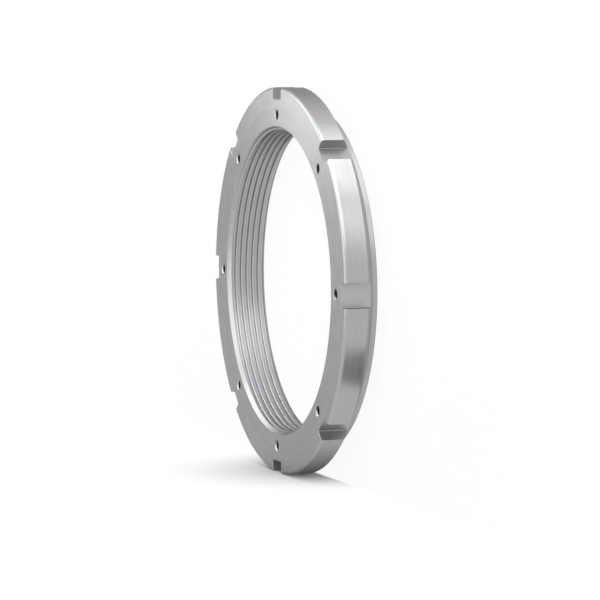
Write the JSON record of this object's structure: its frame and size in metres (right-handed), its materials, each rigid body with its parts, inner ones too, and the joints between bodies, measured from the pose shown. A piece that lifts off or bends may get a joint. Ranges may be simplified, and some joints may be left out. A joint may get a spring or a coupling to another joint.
{
  "type": "bearing lock nut",
  "caption": "Large slotted round lock nut with an internal thread, a coned back edge and tapped holes for locking clips.",
  "frame": {"origin": "centre of the contact face, on the thread axis", "axes": "+Z along the thread axis, from the contact face to the slotted front face; +X and +Y through slots"},
  "size_m": [0.3792, 0.3792, 0.04],
  "materials": {
    "turned_steel": "fine turned, satin, lightly oiled"
  },
  "bodies": {
    "root": {"lock_nut": "turned_steel"}
  },
  "joints": []
}
